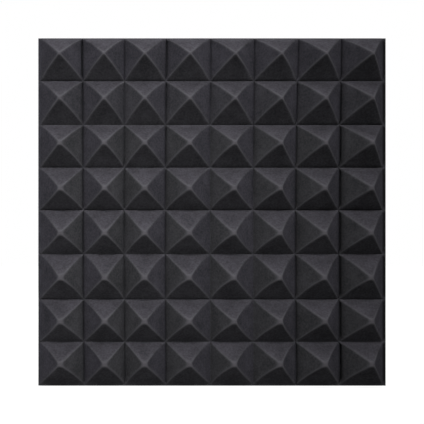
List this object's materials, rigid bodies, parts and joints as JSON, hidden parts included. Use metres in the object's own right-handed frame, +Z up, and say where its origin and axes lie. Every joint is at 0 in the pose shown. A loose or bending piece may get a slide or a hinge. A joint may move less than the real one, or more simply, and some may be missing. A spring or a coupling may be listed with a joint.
{
  "type": "acoustic foam panel",
  "caption": "Square open-cell foam panel with a front cut into rows of pyramids and peel-off adhesive pads on its flat back.",
  "frame": {"origin": "centre of the panel on the wall plane, which the outer faces of the release liners lie on", "axes": "+Z up, +X to the right as seen from the front, +Y out of the back into the wall; the pyramids point along -Y"},
  "size_m": [0.5, 0.0513, 0.5],
  "materials": {
    "foam": "matte open-cell polyurethane foam",
    "foam_tape": "matte white foam tape with a tacky face",
    "release_paper": "satin silicone-coated paper"
  },
  "bodies": {
    "panel": {"foam_panel": "foam", "adhesive_pad_centre": "foam_tape", "adhesive_pad_top_left": "foam_tape", "adhesive_pad_top_right": "foam_tape", "adhesive_pad_bottom_left": "foam_tape", "adhesive_pad_bottom_right": "foam_tape"},
    "liner_centre": {"release_liner_centre": "release_paper"},
    "liner_top_left": {"release_liner_top_left": "release_paper"},
    "liner_top_right": {"release_liner_top_right": "release_paper"},
    "liner_bottom_left": {"release_liner_bottom_left": "release_paper"},
    "liner_bottom_right": {"release_liner_bottom_right": "release_paper"}
  },
  "joints": [
    {"name": "peel_centre", "type": "hinge", "parent": "panel", "child": "liner_centre", "pos_m": [0, -0.0003, 0.025], "axis": [1, 0, 0], "range_deg": [0, 150]},
    {"name": "peel_top_left", "type": "hinge", "parent": "panel", "child": "liner_top_left", "pos_m": [-0.195, -0.0003, 0.22], "axis": [1, 0, 0], "range_deg": [0, 150]},
    {"name": "peel_top_right", "type": "hinge", "parent": "panel", "child": "liner_top_right", "pos_m": [0.195, -0.0003, 0.22], "axis": [1, 0, 0], "range_deg": [0, 150]},
    {"name": "peel_bottom_left", "type": "hinge", "parent": "panel", "child": "liner_bottom_left", "pos_m": [-0.195, -0.0003, -0.17], "axis": [1, 0, 0], "range_deg": [0, 150]},
    {"name": "peel_bottom_right", "type": "hinge", "parent": "panel", "child": "liner_bottom_right", "pos_m": [0.195, -0.0003, -0.17], "axis": [1, 0, 0], "range_deg": [0, 150]}
  ]
}
